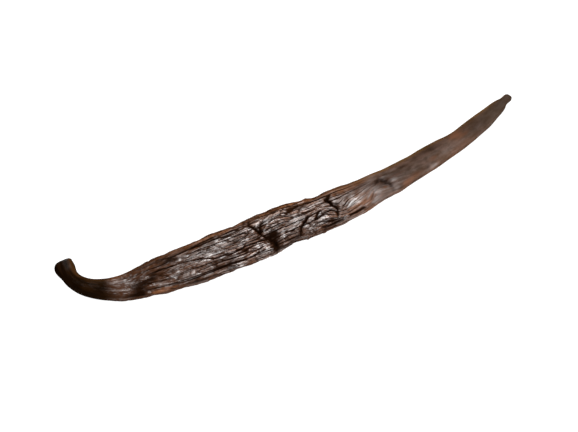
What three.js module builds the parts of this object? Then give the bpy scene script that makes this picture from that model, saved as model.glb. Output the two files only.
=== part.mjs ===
// Cured vanilla pod, one solid lying on the plane z = 0.
// Millimetres, +Z up. The pod runs along X: the hooked stem is at -X, the blunt tip at +X.
// Its skin is a flattened section carried along a curved middle line, with long folds,
// dents and pinched creases pressed into it along the surface normals.
import * as THREE from 'three';

// Middle line and section. at: distance from the cut end of the stem. heading: direction of
// the line in plan, degrees from +X. rise: underside above the table, where a value below
// zero presses the underside flat against it. roll: turn of the section, far edge up.
const STATIONS = [
  { at: 0, heading: -104, width: 4.5, thickness: 4.6, rise: 4.6, roll: 0 },
  { at: 1.6, heading: -88, width: 5.3, thickness: 4.9, rise: 3.8, roll: 0 },
  { at: 4, heading: -68, width: 4.4, thickness: 4.4, rise: 2.8, roll: 0 },
  { at: 8, heading: -38, width: 4.8, thickness: 4.4, rise: 1.4, roll: 0 },
  { at: 13, heading: -22, width: 6.0, thickness: 4.5, rise: 0.4, roll: 2 },
  { at: 19, heading: -6, width: 8.0, thickness: 4.7, rise: -0.2, roll: 5 },
  { at: 27, heading: -6, width: 10.2, thickness: 5.1, rise: -0.4, roll: 8 },
  { at: 37, heading: -1, width: 11.8, thickness: 5.5, rise: -0.4, roll: 8 },
  { at: 49, heading: -2, width: 12.4, thickness: 5.7, rise: -0.4, roll: 7 },
  { at: 59, heading: 0, width: 12.8, thickness: 5.6, rise: -0.1, roll: 6 },
  { at: 71, heading: -2, width: 11.8, thickness: 5.4, rise: 0.1, roll: 5 },
  { at: 83, heading: 5.8, width: 10.5, thickness: 5.0, rise: -0.3, roll: 4 },
  { at: 97, heading: 7, width: 8.4, thickness: 4.4, rise: -0.3, roll: 3 },
  { at: 111, heading: 11, width: 7.8, thickness: 4.0, rise: -0.3, roll: 0 },
  { at: 125, heading: 14, width: 7.0, thickness: 3.5, rise: -0.2, roll: -2 },
  { at: 137, heading: 20, width: 5.2, thickness: 2.9, rise: 0.1, roll: 0 },
  { at: 142, heading: 22, width: 4.1, thickness: 2.1, rise: 0.5, roll: 0 },
  { at: 144, heading: 17, width: 2.8, thickness: 2.1, rise: 0.6, roll: 0 },
  { at: 145.6, heading: 17, width: 2.9, thickness: 2.1, rise: 0.7, roll: 0 },
];
const SQUARENESS = 2.35; // exponent of the section's superellipse; 2 would be an ellipse
const DISH = 0.1; // sag of the upper face between its two rims, share of the thickness
const RIM_SPREAD = 0.19; // evens out the spacing of the points round the flat section

// The stem's cut face leans back and to one side, over this length.
const CUT_LENGTH = 4.5;
const CUT_LEAN_UP = 0.25;
const CUT_LEAN_SIDE = 0.28;

// Rounded ends: share of the end section's size, and how far it stands past the last station.
const CUT_CAP = [
  { share: 0.9, past: 0.25 },
  { share: 0.72, past: 0.45 },
  { share: 0.45, past: 0.4 },
  { share: 0, past: 0.3 },
];
const TIP_CAP = [
  { share: 0.92, past: 0.5 },
  { share: 0.7, past: 0.95 },
  { share: 0.38, past: 1.15 },
  { share: 0, past: 1.2 },
];

// Long folds of the dried skin.
const FOLD_COUNT = 11; // round the whole section
const FOLD_DEPTH = 0.26;
const FOLD_WANDER = [
  { swing: 14, length: 71, start: 60 },
  { swing: 9, length: 31, start: 120 },
  { swing: 5, length: 17, start: 10 },
];
const FOLD_FROM = 12; // the stem before this is smooth
const FOLD_FULL = 26;
const FOLD_FADE = 84; // past this the folds grow shallow towards the tip
const FOLD_TIP_SHARE = 0.1;

// Dents and bulges (negative depth). turn: degrees round the section, 0 at the far edge,
// 90 on top, 180 at the near edge. along and round: reach in millimetres and degrees.
const DENTS = [
  { at: 0.5, turn: 188, depth: -0.35, along: 0.8, round: 50 },
  { at: 2.5, turn: 188, depth: 0.35, along: 1.0, round: 45 },
  { at: 20.5, turn: 106, depth: 0.7, along: 2.2, round: 46 },
  { at: 35.8, turn: 54, depth: 0.4, along: 2.6, round: 20 },
  { at: 58, turn: 140, depth: 1.0, along: 1.9, round: 30 },
  { at: 62.5, turn: 184, depth: 0.9, along: 3.4, round: 40 },
  { at: 73.8, turn: 8, depth: 0.6, along: 2.2, round: 48 },
  { at: 82, turn: 14, depth: -0.3, along: 4.5, round: 45 },
  { at: 93.8, turn: 100, depth: 0.5, along: 2.0, round: 34 },
  { at: 97, turn: 180, depth: -0.4, along: 4.0, round: 45 },
  { at: 108, turn: 140, depth: 0.4, along: 2.4, round: 28 },
  { at: 122, turn: 0, depth: 0.8, along: 5.0, round: 50 },
];

// Pinched creases, each a path of [at, turn] points.
const CREASE_REACH = 0.85;
const CREASES = [
  { depth: 0.8, path: [[54.6, 18], [54, 48], [54.9, 80], [56.9, 122]] },
  { depth: 0.6, path: [[57.9, 50], [54.9, 79]] },
  { depth: 1.0, path: [[57.2, 120], [57.7, 150], [58.6, 172]] },
  { depth: 0.7, path: [[63.7, 64], [67.3, 45]] },
  { depth: 0.7, path: [[69, 109], [65.9, 132], [64.9, 155]] },
  { depth: 0.9, path: [[74.9, 26], [76.5, 56], [76.8, 125], [76.1, 150]] },
  { depth: 0.6, path: [[79.7, 154], [84.6, 159]] },
  { depth: 0.6, path: [[93.1, 71], [93.8, 111], [94.6, 150], [93.9, 164]] },
];

const ROW_SPACING = 1.25; // between the rows of points along the pod
const SIDES = 36; // points round each row
const LINE_STEPS = 1460; // steps in which the middle line is added up
const SMALL = 0.01; // step for measuring the surface normal

const LENGTH = STATIONS.at(-1).at;
const radians = THREE.MathUtils.degToRad;
const smooth = THREE.MathUtils.smoothstep;

/** Slope of a station column at station k: the two neighbouring slopes, the nearer one weighing more. */
function slopeAt(column, k) {
  const rate = (from, to) => (to[column] - from[column]) / (to.at - from.at);
  const last = STATIONS.length - 1;
  if (k === 0) return rate(STATIONS[0], STATIONS[1]);
  if (k === last) return rate(STATIONS[last - 1], STATIONS[last]);
  const [a, b, c] = [STATIONS[k - 1], STATIONS[k], STATIONS[k + 1]];
  const [before, after] = [b.at - a.at, c.at - b.at];
  return (rate(b, c) * before + rate(a, b) * after) / (before + after);
}

/** Smooth value of a station column at a distance, by cubic pieces through the stations. */
function along(column, distance) {
  const last = STATIONS.length - 1;
  const next = STATIONS.findIndex((station) => station.at > distance);
  const i = next === -1 ? last - 1 : next - 1;
  const [from, to] = [STATIONS[i], STATIONS[i + 1]];
  const h = to.at - from.at;
  const t = (distance - from.at) / h;
  return (
    (1 + 2 * t) * (1 - t) ** 2 * from[column] +
    t * (1 - t) ** 2 * h * slopeAt(column, i) +
    t * t * (3 - 2 * t) * to[column] +
    t * t * (t - 1) * h * slopeAt(column, i + 1)
  );
}

/** The middle line in plan, added up in short steps from its heading. */
function middleLine() {
  const step = LENGTH / LINE_STEPS;
  const points = [new THREE.Vector2(0, 0)];
  for (let k = 0; k < LINE_STEPS; k += 1) {
    const heading = radians(along('heading', (k + 0.5) * step));
    const ahead = new THREE.Vector2(Math.cos(heading), Math.sin(heading)).multiplyScalar(step);
    points.push(points[k].clone().add(ahead));
  }
  return points;
}
const LINE = middleLine();

/** Point of the middle line at a distance. */
function linePoint(distance) {
  const place = Math.min((distance / LENGTH) * LINE_STEPS, LINE_STEPS - SMALL);
  const k = Math.floor(place);
  return LINE[k].clone().lerp(LINE[k + 1], place - k);
}

/** Side and up offsets of a section's outline: a superellipse with a dished upper face. */
function outline(distance, turn) {
  const halfWidth = along('width', distance) / 2;
  const halfThickness = along('thickness', distance) / 2;
  const angle = turn + RIM_SPREAD * Math.sin(2 * turn);
  const [c, d] = [Math.cos(angle), Math.sin(angle)];
  const radius = (Math.abs(c) ** SQUARENESS + Math.abs(d) ** SQUARENESS) ** (-1 / SQUARENESS);
  const side = halfWidth * radius * c;
  const sag = d > 0 ? 2 * DISH * halfThickness * (1 - (side / halfWidth) ** 2) ** 2 : 0;
  const up = halfThickness * radius * d - sag;
  const roll = radians(along('roll', distance));
  return {
    side: side * Math.cos(roll) - up * Math.sin(roll),
    up: side * Math.sin(roll) + up * Math.cos(roll),
  };
}

/** Point of the smooth pod, before folds. */
function smoothPoint(distance, turn) {
  const { side, up } = outline(distance, turn);
  const heading = radians(along('heading', distance));
  const fade = Math.max(1 - distance / CUT_LENGTH, 0) ** 2;
  const lean = fade * (CUT_LEAN_UP * up - CUT_LEAN_SIDE * side);
  const middle = linePoint(distance);
  const centreHeight = along('rise', distance) + along('thickness', distance) / 2;
  return new THREE.Vector3(
    middle.x + lean * Math.cos(heading) - side * Math.sin(heading),
    middle.y + lean * Math.sin(heading) + side * Math.cos(heading),
    centreHeight + up,
  );
}

/** Outward normal of the smooth pod. */
function smoothNormal(distance, turn) {
  const before = Math.max(distance - SMALL, 0);
  const after = Math.min(distance + SMALL, LENGTH);
  const lengthwise = smoothPoint(after, turn).sub(smoothPoint(before, turn));
  const round = smoothPoint(distance, turn + SMALL).sub(smoothPoint(distance, turn - SMALL));
  return round.cross(lengthwise).normalize();
}

/** Depth of the long folds: rounded ridges with a narrow valley between each two. */
function foldDepth(distance, turn) {
  const wander = FOLD_WANDER.reduce((sum, wave) => {
    const phase = (2 * Math.PI * distance) / wave.length + radians(wave.start);
    return sum + radians(wave.swing) * Math.sin(phase);
  }, 0);
  const valley = 1 - Math.abs(Math.sin((FOLD_COUNT / 2) * (turn + wander)));
  const start = smooth(distance, FOLD_FROM, FOLD_FULL);
  const end = 1 - (1 - FOLD_TIP_SHARE) * smooth(distance, FOLD_FADE, LENGTH);
  return FOLD_DEPTH * start * end * valley;
}

/** Shortest way round from one turn, in degrees, to another, in radians. */
function turnGap(turn, degrees) {
  const gap = turn - radians(degrees);
  return Math.atan2(Math.sin(gap), Math.cos(gap));
}

/** Depth of the dents: each a smooth bell in distance and turn. */
function dentDepth(distance, turn) {
  return DENTS.reduce((sum, dent) => {
    const lengthwise = (distance - dent.at) / dent.along;
    const round = turnGap(turn, dent.turn) / radians(dent.round);
    return sum + dent.depth * Math.exp(-(lengthwise ** 2) - round ** 2);
  }, 0);
}

/** Depth of the creases: a bell of the distance to the nearest stretch of each path. */
function creaseDepth(distance, turn) {
  const radius = (along('width', distance) + along('thickness', distance)) / 4;
  return CREASES.reduce((deepest, crease) => {
    let gap = Infinity;
    for (let k = 0; k + 1 < crease.path.length; k += 1) {
      const [[fromAt, fromTurn], [toAt, toTurn]] = [crease.path[k], crease.path[k + 1]];
      const point = new THREE.Vector2(distance - fromAt, turnGap(turn, fromTurn) * radius);
      const stretch = new THREE.Vector2(toAt - fromAt, radians(toTurn - fromTurn) * radius);
      const share = THREE.MathUtils.clamp(point.dot(stretch) / stretch.lengthSq(), 0, 1);
      gap = Math.min(gap, point.distanceTo(stretch.multiplyScalar(share)));
    }
    return Math.max(deepest, crease.depth * Math.exp(-((gap / CREASE_REACH) ** 2)));
  }, 0);
}

/** Point of the wrinkled pod, with its underside pressed flat on the table. */
function podPoint(distance, turn) {
  const depth = foldDepth(distance, turn) + dentDepth(distance, turn) + creaseDepth(distance, turn);
  const point = smoothPoint(distance, turn).addScaledVector(smoothNormal(distance, turn), -depth);
  point.z = Math.max(point.z, 0);
  return point;
}

/** Rows that close an end: the end row drawn in towards its centre and moved outwards. */
function capRows(endRow, distance, caps, sign) {
  const centre = endRow.reduce((sum, p) => sum.add(p), new THREE.Vector3()).divideScalar(SIDES);
  const heading = radians(along('heading', distance));
  const outwards = new THREE.Vector3(Math.cos(heading), Math.sin(heading), 0).multiplyScalar(sign);
  const moved = (p, cap) => centre.clone().lerp(p, cap.share).addScaledVector(outwards, cap.past);
  return caps.map((cap) => endRow.map((p) => moved(p, cap)));
}

/** Closed skin: a pole at each end, rows of points between them, and triangles that join them. */
function podGeometry() {
  const rowCount = Math.round(LENGTH / ROW_SPACING);
  const body = Array.from({ length: rowCount + 1 }, (_, row) => {
    const turnOf = (side) => (2 * Math.PI * side) / SIDES;
    return Array.from({ length: SIDES }, (__, side) => podPoint((LENGTH * row) / rowCount, turnOf(side)));
  });
  const stem = capRows(body[0], 0, CUT_CAP, -1).reverse();
  const tip = capRows(body[rowCount], LENGTH, TIP_CAP, 1);
  const rows = [...stem.slice(1), ...body, ...tip.slice(0, -1)];
  const points = [stem[0][0], ...rows.flat(), tip.at(-1)[0]];

  const triangles = [];
  const last = points.length - 1;
  const index = (row, side) => 1 + row * SIDES + (side % SIDES);
  for (let side = 0; side < SIDES; side += 1) {
    triangles.push(0, index(0, side + 1), index(0, side));
    triangles.push(last, index(rows.length - 1, side), index(rows.length - 1, side + 1));
    for (let row = 0; row + 1 < rows.length; row += 1) {
      const [a, b] = [index(row, side), index(row, side + 1)];
      const [c, d] = [index(row + 1, side), index(row + 1, side + 1)];
      triangles.push(a, b, c, b, d, c);
    }
  }
  const positions = points.flatMap((p) => p.toArray());
  const geometry = new THREE.BufferGeometry();
  geometry.setAttribute('position', new THREE.Float32BufferAttribute(positions, 3));
  geometry.setIndex(triangles);
  geometry.computeVertexNormals();
  return geometry;
}

const geometry = podGeometry();
geometry.computeBoundingBox();
const centre = geometry.boundingBox.getCenter(new THREE.Vector3());
geometry.translate(-centre.x, -centre.y, -geometry.boundingBox.min.z);

const skin = new THREE.MeshStandardMaterial({ color: 0x3f2b22, roughness: 0.55, metalness: 0 });
const mesh = new THREE.Mesh(geometry, skin);
mesh.name = 'pod';

const pod = new THREE.Group();
pod.add(mesh);
export default pod;
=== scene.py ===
# %% [markdown]
# # A cured vanilla pod
# This lesson makes the skin of one dried vanilla pod around its packed solid model, gives it
# a finish, and sets up a plain studio shot. The packed model comes first, because every
# piece has to stay in its box and in its frame: metres, +Z up, the pod lying along X.

# %% The packed frame
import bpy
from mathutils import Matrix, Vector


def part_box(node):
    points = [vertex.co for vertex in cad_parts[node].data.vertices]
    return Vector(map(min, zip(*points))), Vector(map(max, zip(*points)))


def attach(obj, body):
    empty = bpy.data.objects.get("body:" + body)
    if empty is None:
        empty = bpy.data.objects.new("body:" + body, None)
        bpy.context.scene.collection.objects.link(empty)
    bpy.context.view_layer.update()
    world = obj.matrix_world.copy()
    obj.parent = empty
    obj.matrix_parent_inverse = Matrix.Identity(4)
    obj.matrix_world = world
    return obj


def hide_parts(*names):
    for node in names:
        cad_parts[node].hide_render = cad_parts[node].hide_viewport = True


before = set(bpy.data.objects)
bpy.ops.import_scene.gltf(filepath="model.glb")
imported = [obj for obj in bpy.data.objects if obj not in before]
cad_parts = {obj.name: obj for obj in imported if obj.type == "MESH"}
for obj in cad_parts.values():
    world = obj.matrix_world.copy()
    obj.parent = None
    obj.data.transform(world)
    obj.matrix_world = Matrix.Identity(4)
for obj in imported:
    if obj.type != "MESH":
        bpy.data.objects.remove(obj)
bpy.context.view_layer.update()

from types import SimpleNamespace

import bpy
import numpy as np
from mathutils import Vector

MILLIMETRES = 1000  # in a metre
low_corner, high_corner = (np.array(corner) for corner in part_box("pod"))
print("solid model, mm:", np.round((high_corner - low_corner) * MILLIMETRES, 1))

# %% [markdown]
# ## The driving dimensions
# A pod has no straight edge to measure from, so its sizes are given at stations along its
# middle line, in millimetres and degrees, the same ones as the solid model's. Between the
# stations everything is worked out by a formula. A sculpted mesh could look as good, but it
# could not be kept in step with the solid.

# %% Stations along the middle line
# distance from the cut stem, heading in plan, width, thickness, rise of the underside, roll
STATIONS = np.array([
    (0, -104, 4.5, 4.6, 4.6, 0),
    (1.6, -88, 5.3, 4.9, 3.8, 0),
    (4, -68, 4.4, 4.4, 2.8, 0),
    (8, -38, 4.8, 4.4, 1.4, 0),
    (13, -22, 6.0, 4.5, 0.4, 2),
    (19, -6, 8.0, 4.7, -0.2, 5),
    (27, -6, 10.2, 5.1, -0.4, 8),
    (37, -1, 11.8, 5.5, -0.4, 8),
    (49, -2, 12.4, 5.7, -0.4, 7),
    (59, 0, 12.8, 5.6, -0.1, 6),
    (71, -2, 11.8, 5.4, 0.1, 5),
    (83, 5.8, 10.5, 5.0, -0.3, 4),
    (97, 7, 8.4, 4.4, -0.3, 3),
    (111, 11, 7.8, 4.0, -0.3, 0),
    (125, 14, 7.0, 3.5, -0.2, -2),
    (137, 20, 5.2, 2.9, 0.1, 0),
    (142, 22, 4.1, 2.1, 0.5, 0),
    (144, 17, 2.8, 2.1, 0.6, 0),
    (145.6, 17, 2.9, 2.1, 0.7, 0),
])
AT, HEADING, WIDTH, THICKNESS, RISE, ROLL = STATIONS.T
LENGTH = AT[-1]


def along(column, distance):
    """Cubic pieces through the stations. The slope at each is a mean of the slopes on its two
    sides, the nearer one weighing more."""
    slope = np.gradient(column, AT)
    i = np.clip(np.searchsorted(AT, distance, side="right") - 1, 0, len(AT) - 2)
    h = AT[i + 1] - AT[i]
    t = (distance - AT[i]) / h
    from_left = (1 + 2 * t) * (1 - t) ** 2 * column[i] + t * (1 - t) ** 2 * h * slope[i]
    from_right = t * t * (3 - 2 * t) * column[i + 1] + t * t * (t - 1) * h * slope[i + 1]
    return from_left + from_right


print("widest, mm:", round(float(along(WIDTH, np.linspace(0, LENGTH, 500)).max()), 2))

# %% [markdown]
# ## The middle line and the section
# The middle line lies in plan and turns by its heading: adding up short steps in that
# direction gives the hook at the stem and the slow bend of the pod. Across it goes a
# flattened section, a superellipse, which is fuller than an ellipse, with the upper face
# sagging between its two rims, as a pod's does when its pulp dries.

# %% The smooth pod
SQUARENESS = 2.35  # 2 is an ellipse
DISH = 0.1  # depth of the sag, as a share of the thickness
RIM_SPREAD = 0.19
CUT_LENGTH = 4.5  # millimetres of stem that lean with the cut
CUT_LEAN_UP = 0.25
CUT_LEAN_SIDE = 0.28
LINE_STEPS = 1460


def middle_line(distance):
    """Plan position at a distance: the running sum of short steps along the heading."""
    ends = np.linspace(0, LENGTH, LINE_STEPS + 1)
    heading = np.radians(along(HEADING, (ends[1:] + ends[:-1]) / 2))
    step = LENGTH / LINE_STEPS
    x = np.concatenate([[0], np.cumsum(np.cos(heading) * step)])
    y = np.concatenate([[0], np.cumsum(np.sin(heading) * step)])
    return np.interp(distance, ends, x), np.interp(distance, ends, y)


def smooth_point(distance, turn):
    """Section (|c|^n + |d|^n)^(-1/n) times (half width c, half thickness d), sagged, rolled
    and set across the middle line. The first millimetres lean, for the slanting cut."""
    half_width, half_thickness = along(WIDTH, distance) / 2, along(THICKNESS, distance) / 2
    angle = turn + RIM_SPREAD * np.sin(2 * turn)
    c, d = np.cos(angle), np.sin(angle)
    radius = (np.abs(c) ** SQUARENESS + np.abs(d) ** SQUARENESS) ** (-1 / SQUARENESS)
    side = half_width * radius * c
    sag = 2 * DISH * half_thickness * (1 - (side / half_width) ** 2) ** 2
    up = half_thickness * radius * d - np.where(d > 0, sag, 0)
    roll = np.radians(along(ROLL, distance))
    side, up = side * np.cos(roll) - up * np.sin(roll), side * np.sin(roll) + up * np.cos(roll)
    heading = np.radians(along(HEADING, distance))
    fade = np.maximum(1 - distance / CUT_LENGTH, 0) ** 2
    lean = fade * (CUT_LEAN_UP * up - CUT_LEAN_SIDE * side)
    x, y = middle_line(distance)
    return np.stack([
        x + lean * np.cos(heading) - side * np.sin(heading),
        y + lean * np.sin(heading) + side * np.cos(heading),
        along(RISE, distance) + half_thickness + up,
    ], axis=-1)


def smooth_normal(distance, turn, small=0.01):
    """Cross product of the two directions in the surface, each measured over a short step."""
    ahead = smooth_point(np.minimum(distance + small, LENGTH), turn)
    lengthwise = ahead - smooth_point(np.maximum(distance - small, 0), turn)
    around = smooth_point(distance, turn + small) - smooth_point(distance, turn - small)
    normal = np.cross(around, lengthwise)
    return normal / np.linalg.norm(normal, axis=-1, keepdims=True)


tip_x, tip_y = middle_line(LENGTH)
print("stem to tip in plan, mm:", round(float(np.hypot(tip_x, tip_y)), 1))

# %% [markdown]
# ## The grid
# Each point of the skin has a distance along the pod and a turn round it: 0 at the far
# edge, a quarter on top, a half at the near edge. The rows crowd a little towards the
# middle of the pod and the columns towards its top, where the wrinkles are finest. The grid
# starts underneath.

# %% Distances and turns of the grid
ROWS = 500
SIDES = 196
CROWD_MIDDLE = 0.25
CROWD_TOP = 0.45
fraction = np.linspace(0, 1, ROWS)[:, None]
distance = LENGTH * (fraction + CROWD_MIDDLE * np.sin(2 * np.pi * fraction) / (2 * np.pi))
even_turn = 2 * np.pi * np.arange(SIDES)[None, :] / SIDES - np.pi / 2
turn = even_turn + CROWD_TOP * np.cos(even_turn)
row_spacing = round(float(np.diff(distance[:, 0]).min()), 3)
print("rows and columns:", ROWS, SIDES, "closest rows, mm:", row_spacing)

# %% [markdown]
# ## Relief
# The skin of a cured pod shrinks more than its fibres do, so it folds lengthwise into long
# ridges, breaks up into slim raised plates between narrow valleys, and pinches into short
# creases where the pod was bent. A displacement texture could do this in the shader, but
# then the mesh would stay smooth. Here each kind of wrinkle is a depth in millimetres over
# the whole grid, and the sum moves the mesh.

# %% Smooth steps and random drifts
def ease(t):
    """Smooth step from 0 to 1: 3t^2 - 2t^3."""
    t = np.clip(t, 0, 1)
    return t * t * (3 - 2 * t)


def rising(distance, span):
    """Smooth step from 0 to 1 over a span (from, to) of the pod, in millimetres."""
    start, end = span
    return ease((distance - start) / (end - start))


def drift(distance, turn, length, cells, seed):
    """Random values on a lattice of that length along and that many cells round, joined by
    smooth steps. The lattice closes on itself round the pod."""
    p, q = distance / length + 0 * turn, turn / (2 * np.pi) * cells + 0 * distance
    i, j = np.floor(p).astype(int), np.floor(q).astype(int)
    table = np.random.default_rng(seed).uniform(-1, 1, (i.max() + 2, cells))
    u, v = ease(p - i), ease(q - j)
    j, k = j % cells, (j + 1) % cells
    near = table[i, j] * (1 - v) + table[i, k] * v
    far = table[i + 1, j] * (1 - v) + table[i + 1, k] * v
    return near * (1 - u) + far * u


print("smooth step at 1/4, 1/2, 3/4:", [round(float(ease(t)), 3) for t in (0.25, 0.5, 0.75)])

# %% [markdown]
# ### Long folds
# Eleven long folds run along the pod, round ridges with narrow valleys between them that
# wander to and fro. They could be sculpted, but a formula is the same in both models, so
# the skin lies on the solid. Here the folds fade out sooner towards the tip than the
# solid's, because the skin is smooth there.

# %% Long folds
FOLD_COUNT = 11
FOLD_DEPTH = 0.26
# swing in degrees, wave length in millimetres, start in degrees
FOLD_WANDER = [(14, 71, 60), (9, 31, 120), (5, 17, 10)]
FOLDS_START = (12, 26)  # spans of the pod in millimetres
FOLDS_END = (80, 112)
FOLD_TIP_SHARE = 0.07


def fold_depth(distance, turn):
    """1 - |sin| of the turn times half the fold count: round ridges and narrow valleys."""
    wander = sum(
        np.radians(swing) * np.sin(2 * np.pi * distance / length + np.radians(start))
        for swing, length, start in FOLD_WANDER
    )
    valley = 1 - np.abs(np.sin(FOLD_COUNT / 2 * (turn + wander)))
    start = rising(distance, FOLDS_START)
    end = 1 - (1 - FOLD_TIP_SHARE) * rising(distance, FOLDS_END)
    return FOLD_DEPTH * start * end * valley


print("folds round the pod:", FOLD_COUNT)

# %% [markdown]
# ### Dents
# The pod is hollow where it was pressed and a little swollen elsewhere, which shows in its
# outline. A lattice or a sculpting brush could do this. A bell over distance and turn does
# it with five numbers. The first twelve are the solid model's, and the last three are
# added.

# %% Dents
# distance, turn, depth, reach along, reach round in degrees
DENTS = [
    (0.5, 188, -0.35, 0.8, 50),
    (2.5, 188, 0.35, 1.0, 45),
    (20.5, 106, 0.7, 2.2, 46),
    (35.8, 54, 0.4, 2.6, 20),
    (58, 140, 1.0, 1.9, 30),
    (62.5, 184, 0.9, 3.4, 40),
    (73.8, 8, 0.6, 2.2, 48),
    (82, 14, -0.3, 4.5, 45),
    (93.8, 100, 0.5, 2.0, 34),
    (97, 180, -0.4, 4.0, 45),
    (108, 140, 0.4, 2.4, 28),
    (122, 0, 0.8, 5.0, 50),
    (73.4, 122, -0.35, 2.4, 18),
    (77.8, 101, 0.5, 0.7, 12),
    (55.4, 80, 0.4, 0.7, 12),
]


def turn_gap(turn, degrees):
    """Shortest way round to a turn given in degrees, in radians."""
    gap = turn - np.radians(degrees)
    return np.arctan2(np.sin(gap), np.cos(gap))


def gap_squared(distance, turn, at, middle, reach, round_reach):
    """a^2 + b^2, where a and b are the gaps along and round to a place, in reaches."""
    gap_along = (distance - at) / reach
    gap_round = turn_gap(turn, middle) / np.radians(round_reach)
    return gap_along ** 2 + gap_round ** 2


def dent_depth(distance, turn):
    """Sum of bells, exp(-(a^2 + b^2)), where a and b are the gaps in reaches."""
    return sum(
        depth * np.exp(-gap_squared(distance, turn, at, middle, reach, round_reach))
        for at, middle, depth, reach, round_reach in DENTS
    )


print("dents:", len(DENTS))

# %% [markdown]
# ### Creases
# Where the pod was bent, the skin is pinched into creases that cross the folds. A bump
# would do for the shallow ones, but the deep ones throw shadows, so they move the mesh.
# Each is a path with a depth at every point. The solid has eight. The mesh is finer than
# its facets, so here there are more of them, they are narrower, and their paths are closer.

# %% Creases
# reach, path of (distance, turn, depth) points
CREASES = [
    (0.32, [(54.5, 28, 0.2), (53.7, 46, 0.5), (54.4, 60, 0.6), (55.1, 80, 0.8), (55.4, 100, 0.5),
            (56.6, 118, 0.6)]),
    (0.26, [(60.0, 50, 0.1), (57.0, 57, 0.4), (55.8, 68, 0.6), (55.4, 84, 0.7)]),
    (0.50, [(56.8, 118, 0.7), (57.6, 138, 0.9), (57.6, 158, 0.8), (57.4, 176, 0.5)]),
    (0.34, [(63.6, 60, 0.2), (65.4, 53, 0.7), (67.8, 46, 0.4)]),
    (0.27, [(69.2, 106, 0.6), (68.1, 116, 1.0), (66.2, 130, 0.7), (65.3, 141, 0.5), (64.9, 156, 0.35)]),
    (0.40, [(77.5, 46, 0.3), (76.3, 58, 0.8), (76.6, 74, 0.7), (76.6, 94, 0.7)]),
    (0.36, [(76.8, 94, 0.4), (77.5, 104, 0.7), (77.5, 119, 0.5), (76.6, 134, 0.4), (75.8, 150, 0.2)]),
    (0.36, [(79.6, 158, 0.4), (81.6, 159, 0.6), (84.6, 156, 0.3)]),
    (0.45, [(90.6, 96, 0.05), (91.6, 86, 0.12), (93.4, 71, 0.2)]),
    (0.75, [(93.6, 70, 0.18), (94.1, 85, 0.23), (94.6, 113, 0.23), (94.9, 136, 0.2),
            (94.6, 152, 0.08)]),
    (0.24, [(72.8, 114, 0.15), (73.6, 114, 0.35), (75.1, 113, 0.5), (76.3, 119, 0.45),
            (76.6, 134, 0.3)]),
    (0.26, [(73.4, 100, 0.2), (72.2, 102, 0.5), (71.5, 110, 0.6), (71.0, 125, 0.4)]),
    (0.26, [(69.8, 136, 0.2), (71.9, 142, 0.3), (73.7, 145, 0.3), (75.6, 150, 0.2)]),
    (0.34, [(71.2, 155, 0.2), (73.2, 161, 0.4), (75.4, 160, 0.35), (77.8, 159, 0.2)]),
    (0.22, [(64.0, 82, 0.15), (68.1, 80, 0.35), (71.5, 82, 0.3)]),
    (0.20, [(45.0, 122, 0.3), (48.0, 119, 0.5), (53.0, 119, 0.5), (57.0, 120, 0.4)]),
    (0.20, [(36.0, 136, 0.2), (43.0, 135, 0.4), (49.0, 138, 0.4), (54.0, 140, 0.2)]),
    (0.20, [(24.0, 80, 0.2), (30.0, 80, 0.4), (34.0, 86, 0.3), (38.0, 98, 0.3), (41.0, 116, 0.4),
            (46.0, 119, 0.3)]),
    (0.22, [(22.0, 45, 0.1), (35.0, 42, 0.35), (44.0, 48, 0.4), (52.0, 50, 0.2)]),
    (0.22, [(57.0, 36, 0.2), (62.0, 36, 0.4), (70.0, 34, 0.2)]),
    (0.22, [(24.0, 150, 0.1), (34.0, 154, 0.3), (44.0, 152, 0.4), (50.0, 155, 0.3), (57.0, 156, 0.2)]),
]
# shift in millimetres, length, cells round, seed of the drifts that make the creases uneven
CREASE_SHIFTS = [(0.45, 1.6, 26, 61), (0.2, 0.8, 56, 62)]


def crease_depth(distance, turn):
    """The deepest of the creases: the depth of the nearest place on a path, times a bell of
    the distance to it. The places are shifted by short drifts, so that no crease is straight."""
    radius = (along(WIDTH, distance) + along(THICKNESS, distance)) / 4
    distance = distance + sum(
        size * drift(distance, turn, length, cells, seed)
        for size, length, cells, seed in CREASE_SHIFTS
    )
    deepest = 0 * distance * turn
    for reach, path in CREASES:
        for (from_at, from_turn, from_depth), (to_at, to_turn, to_depth) in zip(path[:-1], path[1:]):
            x, y = distance - from_at + 0 * turn, turn_gap(turn, from_turn) * radius
            run, rise = to_at - from_at, np.radians(to_turn - from_turn) * radius
            share = np.clip((x * run + y * rise) / (run ** 2 + rise ** 2), 0, 1)
            gap = np.hypot(x - share * run, y - share * rise)
            depth = from_depth + (to_depth - from_depth) * share
            deepest = np.maximum(deepest, depth * np.exp(-((gap / reach) ** 2)))
    return deepest


print("creases:", len(CREASES), "points:", sum(len(path) for reach, path in CREASES))

# %% [markdown]
# ### Lines that bend
# The wrinkles run lengthwise, but they swerve round the places where the pod was pinched and
# slant where it was wrung. Each pattern could be bent by itself. It is simpler to bend the
# turn once, and to draw every lengthwise pattern on the bent turn.

# %% Where the lengthwise lines bend
# distance, turn, reach along, reach round in degrees, lift in degrees, lean in degrees per mm
BENDS = [
    (73.5, 104, 2.8, 30, 14, 0),
    (80.5, 112, 3.2, 30, 0, 9),
    (87.0, 122, 7.0, 34, 0, 9),
    (61.5, 60, 2.0, 16, 8, 0),
    (34.5, 96, 3.0, 26, 8, 0),
    (49.0, 150, 3.0, 18, -6, 0),
]
LINE_SWING = 0.05  # radians
LINE_DRIFT = (14.0, 5, 5)  # length, cells round, seed


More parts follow.
